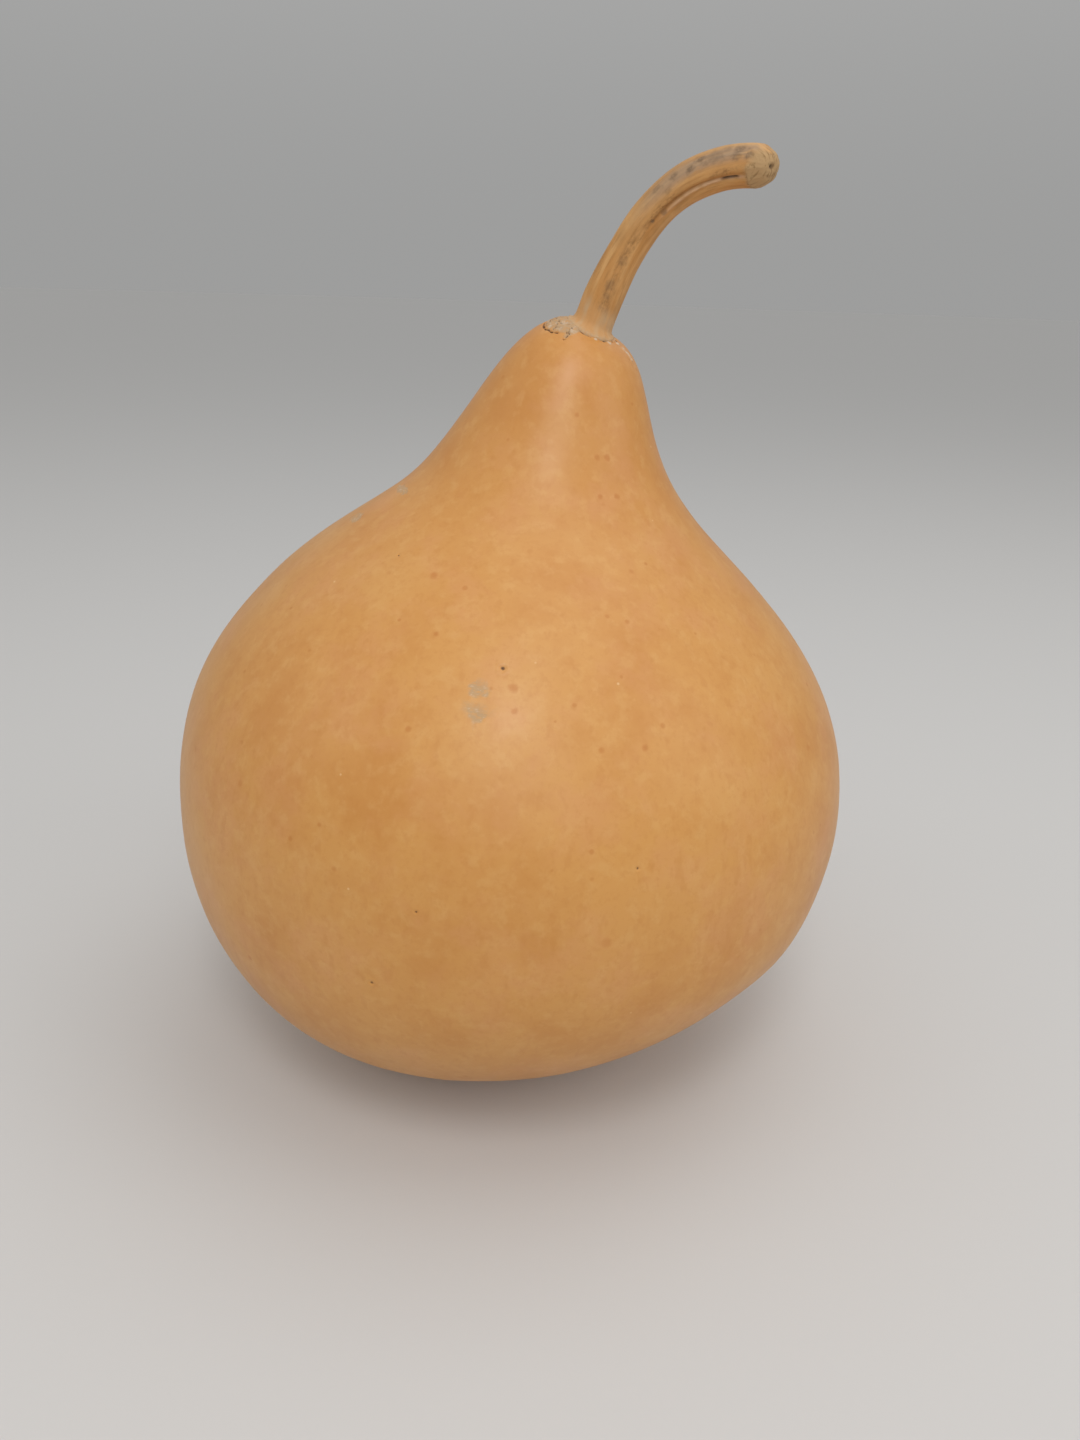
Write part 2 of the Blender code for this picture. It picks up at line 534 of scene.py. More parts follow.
def turn_gap(angle, centre):
    """How far an angle is from a centre, in degrees, the short way round."""
    return (angle - centre + 180.0) % 360.0 - 180.0


def lobe(angle, centre, width, power=2):
    """A bump of height 1 round a centre, in degrees. Power 4 gives it a flat top."""
    return np.exp(-(np.abs(turn_gap(angle, centre)) / width) ** power)


def clouds(points, size, shift=0.0):
    """Smooth noise from about -1 to 1, whose clouds are about size across."""
    away = Vector((shift, shift * 1.7, shift * 0.6))
    return np.array([noise.noise(Vector(p) / size + away) for p in points])


def rough_clouds(points, size, octaves, shift=0.0):
    """Noise with finer noise upon it."""
    away = Vector((shift, shift * 1.3, shift * 0.4))
    return np.array([noise.fractal(Vector(p) / size + away, 0.9, 2.1, octaves) for p in points])


class Value:
    """A socket of a finish that is reckoned with like a number. Each sum adds its node."""

    def __init__(self, finish, socket):
        self.finish = finish
        self.socket = socket

    def beside(self, output):
        """Another output of the same node."""
        return Value(self.finish, self.socket.node.outputs[output])

    def __add__(self, other):
        return self.finish.reckon("ADD", self, other)

    def __radd__(self, other):
        return self.finish.reckon("ADD", other, self)

    def __sub__(self, other):
        return self.finish.reckon("SUBTRACT", self, other)

    def __rsub__(self, other):
        return self.finish.reckon("SUBTRACT", other, self)

    def __mul__(self, other):
        return self.finish.reckon("MULTIPLY", self, other)

    def __rmul__(self, other):
        return self.finish.reckon("MULTIPLY", other, self)

    def __truediv__(self, other):
        return self.finish.reckon("DIVIDE", self, other)


class Finish:
    """One material being made. Its add method makes any node, and the rest call it."""

    def __init__(self, name):
        self.material = bpy.data.materials.new(name)
        self.material.use_nodes = True
        self.tree = self.material.node_tree
        self.shader = self.tree.nodes["Principled BSDF"]
        self.here = self.add("ShaderNodeTexCoord", output="Object")

    def feed(self, socket, value):
        """Links a value to a socket, or sets the socket to a plain number or colour."""
        if isinstance(value, Value):
            self.tree.links.new(value.socket, socket)
        elif socket.type == "RGBA" and len(value) == 3:
            socket.default_value = (*value, 1.0)
        else:
            socket.default_value = value

    def add(self, kind, settings=None, inputs=None, output=0):
        """Makes a node with its settings and the values or links of its sockets."""
        node = self.tree.nodes.new(kind)
        for name, value in (settings or {}).items():
            setattr(node, name, value)
        for key, value in (inputs or {}).items():
            self.feed(node.inputs[key], value)
        return Value(self, node.outputs[output])

    def reckon(self, operation, *values):
        """A Math node."""
        return self.add("ShaderNodeMath", {"operation": operation}, dict(enumerate(values)))

    def most(self, first, *others):
        """The greatest of several values."""
        for other in others:
            first = self.reckon("MAXIMUM", first, other)
        return first

    def climb(self, low, high, value):
        """0 below low and 1 above high, with a smooth climb between."""
        inputs = {"Value": value, "From Min": low, "From Max": high}
        return self.add("ShaderNodeMapRange", {"interpolation_type": "SMOOTHSTEP"}, inputs)

    def mix(self, share, first, second):
        """A colour between two, by share."""
        settings = {"data_type": "RGBA", "clamp_factor": True}
        return self.add("ShaderNodeMix", settings, {0: share, 6: first, 7: second}, output=2)

    def stretched(self, place, scale):
        """A place stretched by a scale along each axis."""
        return self.add("ShaderNodeMapping", None, {"Vector": place, "Scale": scale})

    def cloud(self, place, size, detail=2.0, roughness=0.5):
        """Noise from 0 to 1 whose clouds are about size across."""
        inputs = {"Vector": place, "Scale": 1.0 / size, "Detail": detail, "Roughness": roughness}
        return self.add("ShaderNodeTexNoise", None, inputs)

    def specks(self, place, spacing, radius, share):
        """Soft round specks, about one to each cell, of which only a share show."""
        inputs = {"Vector": place, "Scale": 1.0 / spacing, "Randomness": 1.0}
        near = self.add("ShaderNodeTexVoronoi", None, inputs, output="Distance")
        parts = self.add("ShaderNodeSeparateColor", None, {0: near.beside("Color")}, output="Red")
        size = (parts.beside("Green") * 0.6 + 0.4) * (radius / spacing)
        shown = self.reckon("LESS_THAN", parts, share)
        return (1.0 - self.climb(0.35, 1.0, near / size)) * shown

    def spot(self, middle, radius):
        """One soft round spot with a frayed edge, at a place on the surface."""
        inputs = {0: self.here, 1: middle}
        away = self.add("ShaderNodeVectorMath", {"operation": "DISTANCE"}, inputs, output="Value")
        frayed = away + self.cloud(self.here, 1.0 * MM, 2.0) * (0.6 * radius) - 0.3 * radius
        return 1.0 - self.climb(0.3 * radius, radius, frayed)

    def kept(self, name, output="Fac"):
        """A value stored on the mesh."""
        return self.add("ShaderNodeAttribute", {"attribute_name": name}, None, output)

    def bump(self, height, distance, strength=1.0):
        """Adds fine relief and links it to the shader."""
        inputs = {"Height": height, "Distance": distance, "Strength": strength}
        self.feed(self.shader.inputs["Normal"], self.add("ShaderNodeBump", None, inputs))

    def set_shader(self, **sockets):
        """Sets or links the shader's sockets, named with _ for each space."""
        for name, value in sockets.items():
            self.feed(self.shader.inputs[name.replace("_", " ")], value)


def spot_on(tree, turn, height):
    """The point of the rind at a turn from the front and a height."""
    angle = math.radians(turn)
    outward = Vector((math.sin(angle), -math.cos(angle), 0.0))
    above = max(height - AXIS_LEAN_HEIGHT, 0.0)
    sideways = Vector((AXIS_LEAN, 0.0, 0.0)) * above * AXIS_STEEPENING
    axis = Vector((AXIS_MIDDLE, 0.0, height)) + sideways
    return tree.ray_cast(axis + outward * 0.3, -outward)[0]


def skirt_edge(angle):
    """How far the stalk's foot spreads over the crown at an angle round it."""
    spread = 7.4 + 0.6 * lobe(angle, -90.0, 45.0) - 0.3 * lobe(angle, 180.0, 50.0)
    spread -= 1.0 * lobe(angle, 0.0, 45.0)
    ring = np.stack([np.cos(np.radians(angle)), np.sin(np.radians(angle)), 0.0 * angle], 1)
    return (spread + 0.22 * clouds(ring, 0.35, 3.0) + 0.1 * clouds(ring, 0.09, 5.0)) * MM


def cork_edge(angle):
    """How far the flaky cork reaches from the stalk's middle at an angle round it."""
    reach = 7.9 + 5.0 * lobe(angle, -160.0, 38.0, 4) + 3.2 * lobe(angle, -119.0, 6.5)
    reach += 1.9 * lobe(angle, 105.0, 26.0, 4) - 1.0 * lobe(angle, 0.0, 45.0)
    ring = np.stack([np.cos(np.radians(angle)), np.sin(np.radians(angle)), 0.0 * angle], 1)
    return (reach + 0.75 * clouds(ring, 0.4, 7.0) + 0.3 * clouds(ring, 0.1, 9.0)) * MM


def cap_face(piece, wanted, rings):
    """Joins the chosen faces into one, and fills it with even rings round a middle point."""
    select_faces(piece, wanted)
    bpy.ops.mesh.dissolve_faces()
    mesh = bmesh.from_edit_mesh(piece.data)
    middle = next(face for face in mesh.faces if face.select).calc_center_median()
    for ring in range(rings, 0, -1):
        share = ring / (ring + 1.0)
        bpy.ops.mesh.extrude_region_move()
        bpy.ops.transform.resize(value=(share, share, share), center_override=middle)
    bpy.ops.mesh.poke()


def rough_gourd(name):
    """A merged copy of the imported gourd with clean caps, refined round the crown."""
    piece = bpy.data.objects.new(name, frame["nodes"]["gourd"].data.copy())
    bpy.context.scene.collection.objects.link(piece)
    piece.data.name = name
    piece.data.materials.clear()
    pick_only(piece)
    bpy.ops.object.mode_set(mode="EDIT")
    bpy.ops.mesh.select_all(action="SELECT")
    bpy.ops.mesh.customdata_custom_splitnormals_clear()
    bpy.ops.mesh.remove_doubles(threshold=MERGE_DISTANCE)
    bpy.ops.mesh.tris_convert_to_quads(face_threshold=0.8, shape_threshold=0.8)
    up = CROWN.to_3x3() @ Vector((0.0, 0.0, 1.0))

    def on_floor(face):
        return face.normal.z < -0.999 and face.calc_center_median().z < 0.02 * MM

    def on_crown(face):
        near = (face.calc_center_median() - CROWN_MIDDLE).length < 9.0 * MM
        return near and face.normal.dot(up) > 0.9999

    cap_face(piece, on_floor, 3)
    cap_face(piece, on_crown, 2)

    def on_floor_rim(edge):
        level = all(vert.co.z < 0.02 * MM for vert in edge.verts)
        return level and any(face.normal.z > -0.999 for face in edge.link_faces)

    select_edges(piece, on_floor_rim)
    bpy.ops.transform.edge_crease(value=1.0)
    bpy.ops.object.mode_set(mode="OBJECT")
    subdivide_surface(piece)

    bpy.ops.object.mode_set(mode="EDIT")
    near_crown = (8.5 * MM) ** 2

    def beside_crown(face):
        return (face.calc_center_median() - CROWN_MIDDLE).length_squared < near_crown

    select_faces(piece, beside_crown)
    for _ in range(CROWN_RINGS):
        bpy.ops.mesh.select_more()
    mesh = bmesh.from_edit_mesh(piece.data)
    chosen = {edge for face in mesh.faces if face.select for edge in face.edges}
    to_crown = CROWN.inverted()

    def runs_outward(edge):
        if edge not in chosen:
            return False
        a, b = (to_crown @ vert.co for vert in edge.verts)
        around = Vector((a.x + b.x, a.y + b.y, 0.0)).normalized().cross(Vector((0.0, 0.0, 1.0)))
        far = math.hypot(a.x + b.x, a.y + b.y) / 2.0
        return far > 4.0 * MM and abs((b - a).normalized().dot(around)) < 0.5

    select_edges(piece, runs_outward)
    bpy.ops.mesh.subdivide(number_cuts=CROWN_RING_CUTS)
    bpy.ops.object.mode_set(mode="OBJECT")
    subdivide_surface(piece)
    return piece


def refine_marks(piece, places):
    """Divides the faces finely round each (place, reach)."""
    bpy.ops.object.mode_set(mode="EDIT")
    for place, reach in places:
        select_faces(piece, lambda face: (face.calc_center_median() - place).length < reach)
        bpy.ops.mesh.subdivide(number_cuts=MARK_CUTS)
    bpy.ops.object.mode_set(mode="OBJECT")


def swell(points, tree):
    """How far the broad swells and hollows push each point out."""
    push = np.zeros(len(points))
    for turn, height, width, far in SWELLS:
        middle = np.array(spot_on(tree, turn, height))
        away = np.linalg.norm(points - middle, axis=1)
        push += far * np.exp(-((away / width) ** 2))
    return push


def crown_relief(points, settings):
    """Cork, cracks and flakes round the stalk's foot: push, cork share and crack share."""
    local = np.array([CROWN.inverted() @ Vector(p) for p in points])
    far = np.hypot(local[:, 0], local[:, 1])
    angle = np.degrees(np.arctan2(local[:, 1], local[:, 0]))
    reach = cork_edge(angle)
    skirt = skirt_edge(angle)

    cork = 1.0 - rise(-1.1 * MM, 0.35 * MM, far - reach + 0.5 * MM * clouds(local, 0.8 * MM, 19.0))
    flaky = rough_clouds(local, 1.5 * MM, 4, 2.0)
    plates = np.floor(2.6 * (clouds(local, 2.4 * MM, 4.0) + 1.0)) / 2.6 - 1.0
    rag = clouds(local, 1.1 * MM, 8.0)

    edge_crack = np.exp(-(((far - reach - 0.15 * MM) / (0.26 * MM)) ** 2))
    edge_crack *= rise(-0.1, 0.35, rag + 0.5 * lobe(angle, -160.0, 22.0, 4))
    wander = 0.35 * MM * clouds(local, 1.6 * MM, 12.0)
    foot_crack = np.exp(-(((far - skirt - 0.3 * MM - wander) / (0.36 * MM)) ** 2))
    split = np.maximum(lobe(angle, -101.0, 13.0, 6), lobe(angle, -61.0, 13.0, 6))
    far_splits = [0.8 * lobe(angle, 48.0, 22.0, 6), 0.7 * lobe(angle, 120.0, 16.0, 6)]
    split = np.maximum.reduce([split, *far_splits])
    foot_crack *= split * rise(-0.7, -0.1, clouds(local, 0.9 * MM, 11.0))
    inner = np.abs(clouds(local, 3.1 * MM, 13.0) + 0.35 * clouds(local, 0.9 * MM, 14.0))
    inner_crack = (1.0 - rise(0.0, 0.1, inner)) * cork * rise(0.2 * MM, 1.0 * MM, far - skirt)
    # The crack mask both sinks the rind and marks where painted shade darkens it.
    crack = np.clip(np.maximum.reduce([edge_crack, foot_crack, 0.9 * inner_crack]), 0.0, 1.0)

    streak = np.exp(-(((local[:, 1] + 3.8 * MM) / (0.55 * MM)) ** 2))
    streak *= rise(9.4 * MM, 10.2 * MM, far)
    streak *= (1.0 - rise(13.2 * MM, 14.2 * MM, far)) * (local[:, 0] > 0.0)
    flake = np.clip(streak * rise(-0.5, 0.3, clouds(local, 0.8 * MM, 17.0)), 0.0, 1.0)
    for x, y, wide in FLAKES:
        away = np.hypot(local[:, 0] - x * MM, local[:, 1] - y * MM)
        flake = np.maximum(flake, (1.0 - rise(0.4, 1.0, away / (wide * MM) + 0.35 * rag)) * 0.95)

    push = settings.scab_height * cork * (0.45 + 0.45 * plates + 0.4 * flaky)
    push += flake * 0.28 * MM * (1.0 + 0.6 * rag)
    push += 0.7 * MM * lobe(angle, 180.0, 62.0, 4) * (1.0 - rise(7.0 * MM, 13.0 * MM, far))
    push -= crack * 0.5 * MM
    near = 1.0 - rise(15.0 * MM, 17.0 * MM, far)
    near *= rise(-12.0 * MM, -9.0 * MM, local[:, 2])
    shown = np.maximum(cork, flake)
    return push * near, shown * near, crack * near, flake * near


def model_gourd(settings):
    """Shapes the gourd and stores where its cork, cracks, pits and scuffs are."""
    piece = rough_gourd("dried_gourd")
    tree = BVHTree.FromObject(piece, bpy.context.evaluated_depsgraph_get())
    pits = [(spot_on(tree, turn, height), radius) for turn, height, radius in PITS]
    scuffs = [(spot_on(tree, turn, height), wide, tall) for turn, height, wide, tall in SCUFFS]
    refine_marks(
        piece,
        [(place, 6.0 * radius + 1.0 * MM) for place, radius in pits]
        + [(place, 1.3 * max(wide, tall)) for place, wide, tall in scuffs],
    )

    points = places_of(piece)
    outward = directions_of(piece)
    off_floor = rise(0.3 * MM, 6.0 * MM, points[:, 2])
    push = swell(points, tree)
    push += settings.unevenness * (clouds(points, 42 * MM) - 0.15)
    push += 0.3 * settings.unevenness * clouds(points, 17 * MM, 5.0)
    push += settings.dimpling * clouds(points, 4.5 * MM, 9.0)

    # Each pit sinks the rind, and its share marks where painted shade darkens the pit.
    pit_share = np.zeros(len(points))
    for place, radius in pits:
        away = np.linalg.norm(points - np.array(place), axis=1) / radius
        close = away < 4.0
        away[close] += 0.35 * clouds(points[close], 0.8 * MM, 23.0)
        pit_share = np.maximum(pit_share, 1.0 - rise(0.35, 1.3, away))
        push -= 0.55 * radius * np.exp(-(away**2))
        push += 0.12 * radius * np.exp(-((away - 1.9) ** 2) / 0.25)

    scuff_share = np.zeros(len(points))
    for place, wide, tall in scuffs:
        away = points - np.array(place)
        across = np.hypot(away[:, 0], away[:, 1]) / wide
        down = away[:, 2] / tall
        ragged = np.hypot(across, down)
        close = ragged < 2.2
        rag = np.zeros(len(points))
        rag[close] = clouds(points[close], 1.6 * MM, 21.0)
        share = 1.0 - rise(0.7, 1.15, ragged + 0.5 * rag)
        scuff_share = np.maximum(scuff_share, np.where(close, share, 0.0))
    push -= 0.06 * MM * scuff_share

    near = np.linalg.norm(points - np.array(CROWN_MIDDLE), axis=1) < 20.0 * MM
    cork, crack, flake = (np.zeros(len(points)) for _ in range(3))
    relief, cork[near], crack[near], flake[near] = crown_relief(points[near], settings)
    push[near] += relief

    place_points(piece, points + outward * (push * off_floor)[:, None])
    keep_values(piece, "neck", rise(0.135, 0.185, points[:, 2]))
    keep_values(piece, "cork", cork)
    keep_values(piece, "crack", crack)
    keep_values(piece, "flake", flake)
    keep_values(piece, "pit", pit_share)
    keep_values(piece, "scuffed", scuff_share)
    pick_only(piece)
    bpy.ops.object.mode_set(mode="EDIT")
    bpy.ops.mesh.select_all(action="SELECT")
    bpy.ops.mesh.normals_make_consistent(inside=False)
    bpy.ops.object.mode_set(mode="OBJECT")
    bpy.ops.object.shade_smooth()
    freckles = [(spot_on(tree, turn, height), radius) for turn, height, radius in FRECKLES]
    return piece, freckles


def finish_rind(settings, freckles):
    """Waxy orange rind with clouds, freckles and specks, the cork of its crown, and painted shade in
    its cracks and pits.
    """
    rind = Finish("waxy_rind")
    here = rind.here
    broad = rind.cloud(here, 60 * MM, 3.0, 0.55)
    patchy = rind.cloud(here, 17 * MM, 4.0, 0.6)
    fine = rind.cloud(here, 4.0 * MM, 3.0, 0.6)
    grain = rind.cloud(here, 0.9 * MM, 2.0, 0.5)
    dashes = rind.cloud(rind.stretched(here, (1.0, 1.0, 0.45)), 3.2 * MM, 2.0, 0.6)

    deep = rind.climb(0.44, 0.66, broad * 0.45 + patchy * 0.55)
    pale = rind.climb(0.50, 0.72, (1.0 - broad) * 0.4 + rind.cloud(here, 26 * MM, 3.0, 0.6) * 0.6)
    colour = rind.mix(rind.kept("neck") * 0.42, settings.rind, settings.deep_rind)
    colour = rind.mix(deep * 0.62, colour, settings.deep_rind)
    colour = rind.mix(pale * 0.45, colour, settings.pale_rind)
    rosy = rind.climb(0.46, 0.68, rind.cloud(here, 21 * MM, 4.0, 0.65))
    colour = rind.mix(rosy * 0.38, colour, ROSY_RIND)
    colour = rind.mix(rind.climb(0.48, 0.70, fine) * 0.28, colour, settings.pale_rind)
    mottled = rind.climb(0.48, 0.66, rind.cloud(here, 1.9 * MM, 4.0, 0.7))
    colour = rind.mix(mottled * 0.24, colour, settings.deep_rind)
    colour = rind.mix(rind.climb(0.54, 0.72, dashes) * 0.32, colour, settings.deep_rind)
    colour = rind.mix(rind.climb(0.6, 0.8, grain) * 0.10, colour, settings.freckle)

    small = rind.specks(here, 9.0 * MM, 1.15 * MM, 0.8)
    large = rind.specks(here, 19.0 * MM, 2.0 * MM, 0.7)
    placed = rind.most(*[rind.spot(middle, radius) for middle, radius in freckles])
    freckled = rind.most(small * 0.5, large * 0.38, placed * 0.6)
    colour = rind.mix(freckled * (fine * 0.6 + 0.55), colour, settings.freckle)
    light = rind.specks(here, 10.0 * MM, 0.5 * MM, 0.6)
    colour = rind.mix(light * 0.4, colour, PALE_SPECK)
    # Tiny dark pin specks, in the same near-black colour as the painted shade of the cracks.
    pins = rind.specks(here, 19.0 * MM, 0.42 * MM, 0.4)
    colour = rind.mix(pins * 0.75, colour, settings.crack)

    threads = rind.cloud(rind.stretched(here, (0.6, 0.6, 1.6)), 0.9 * MM, 3.0, 0.65)
    scuffed = rind.kept("scuffed")
    rubbed = scuffed * rind.climb(0.28, 0.50, threads)
    chalk = rind.mix(rind.climb(0.56, 0.68, threads) * 0.8, settings.scuff, CHALKY_SCUFF)
    colour = rind.mix(rubbed * 0.72, colour, chalk)

    cork = rind.kept("cork")
    flecks = rind.cloud(here, 1.1 * MM, 4.0, 0.65)
    cork_colour = rind.mix(rind.climb(0.50, 0.68, flecks), settings.cork, BROWN_CORK)
    chalky = rind.climb(0.52, 0.62, rind.cloud(here, 2.2 * MM, 3.0, 0.6))
    cork_colour = rind.mix(chalky * 0.7, cork_colour, CHALKY_CORK)
    colour = rind.mix(cork * (0.45 + rind.climb(0.36, 0.56, flecks) * 0.5), colour, cork_colour)
    colour = rind.mix(rind.kept("flake") * 0.8, colour, FLAKE)
    # Painted shade: the cracks and pits are darkened to near-black inside.
    crack = rind.most(rind.kept("crack"), rind.kept("pit") * 0.8)
    colour = rind.mix(rind.climb(0.25, 0.85, crack) * 0.93, colour, settings.crack)

    dry = rind.most(rubbed, cork, crack)
    rough = 0.43 + patchy * 0.10 + freckled * 0.08 + dry * 0.32
    rind.set_shader(
        Base_Color=colour,
        Roughness=rough,
        IOR=1.46,
        Coat_Roughness=0.28,
        Coat_Weight=0.20 * (1.0 - dry),
    )
    relief = grain * 0.25 + fine * 0.5 + dashes * 0.35 - freckled * 0.35 + cork * flecks * 1.4
    rind.bump(relief + rubbed * threads, 0.06 * MM, 0.7)
    return rind.material


def stalk_line():
    """Even points along the stalk's middle in the crown's frame, and the tip's direction."""
    climb, turn = STALK_TIP_CLIMB, STALK_TIP_TURN
    level = math.cos(climb)
    pointing = Vector((level * math.cos(turn), level * math.sin(turn), math.sin(climb)))
    foot = Vector((0.0, 0.0, SEAT_GAP))
    leave = foot + Vector((0.0, 0.0, STALK_FOOT_REACH))
    meet = STALK_TIP - pointing * STALK_TIP_REACH
    t = np.linspace(0.0, 1.0, STALK_LINE_STEPS)[:, None]
    s = 1.0 - t
    line = s**3 * np.array(foot) + 3 * s * s * t * np.array(leave)
    line = line + 3 * s * t * t * np.array(meet) + t**3 * np.array(STALK_TIP)
    beyond = np.array(STALK_TIP) + np.array(pointing) * np.linspace(0.1, 6.0, 60)[:, None] * MM
    line = np.concatenate([line, beyond])
    run = np.concatenate([[0.0], np.cumsum(np.linalg.norm(np.diff(line, axis=0), axis=1))])
    return line, run, pointing, run[STALK_LINE_STEPS - 1]


def stalk_relief(angle, run, settings):
    """How far the ribs and grooves stand off the stalk's round, and their masks."""
    along = run / MM
    grown = (0.3 + 0.7 * rise(12.0, 34.0, along)) * (1.0 - 0.7 * rise(58.0, 66.0, along))
    drift = 20.0 * rise(25.0, 60.0, along)
    cosine, sine = np.cos(np.radians(angle)), np.sin(np.radians(angle))
    ring = np.stack([cosine * 1.5, sine * 1.5, along / 26.0], 1)
    wander = 7.0 * clouds(ring, 0.9, 1.0)
    at = angle + wander
    ridges = lobe(at, -104.0 + drift, 15.0)
    ridges = np.maximum(ridges, 0.55 * lobe(at, -18.0, 20.0))
    for centre, width, tall in RIBS:
        ridges = np.maximum(ridges, tall * lobe(at, centre, width))
    near_tip = 1.0 - rise(58.0, 63.0, along)
    lip = lobe(at, -58.0, 5.5) * rise(30.0, 44.0, along) * near_tip
    groove_at = -89.0 + 20.0 * rise(25.0, 33.0, along) + 8.0 * rise(33.0, 56.0, along)
    groove = lobe(at, groove_at, 9.0) * rise(22.0, 36.0, along) * (0.3 + 0.7 * near_tip)
    slit = lobe(at, groove_at + 2.0, 3.2) * rise(53.6, 55.0, along) * (1.0 - rise(58.2, 59.8, along))
    far_groove = 0.8 * lobe(at, 62.0, 9.0) * rise(14.0, 40.0, along) * near_tip
    far_groove = far_groove + 0.6 * lobe(at, 122.0, 9.0) * grown
    push = settings.rib_height * grown * (ridges - 0.35)
    push += 0.36 * MM * lip - settings.groove_depth * (groove + 0.6 * far_groove) - 0.55 * MM * slit
    return push, ridges * grown, lip, np.maximum(groove, far_groove), slit


def stalk_rows():
    """For each row of the stalk's mesh, its stretch and how far along the stretch it is."""
    rows = [("under", share) for share in (0.0, 0.3, 0.6, 0.85, 1.0)]
    rows += [("skirt", i / SKIRT_ROWS) for i in range(SKIRT_ROWS + 1)]
    rows += [("wall", i / WALL_ROWS) for i in range(1, WALL_ROWS + 1)]
    rows += [("rim", i / RIM_ROWS) for i in range(1, RIM_ROWS + 1)]
    rows += [("cut", i / CUT_ROWS) for i in range(1, CUT_ROWS + 1)]
    return rows


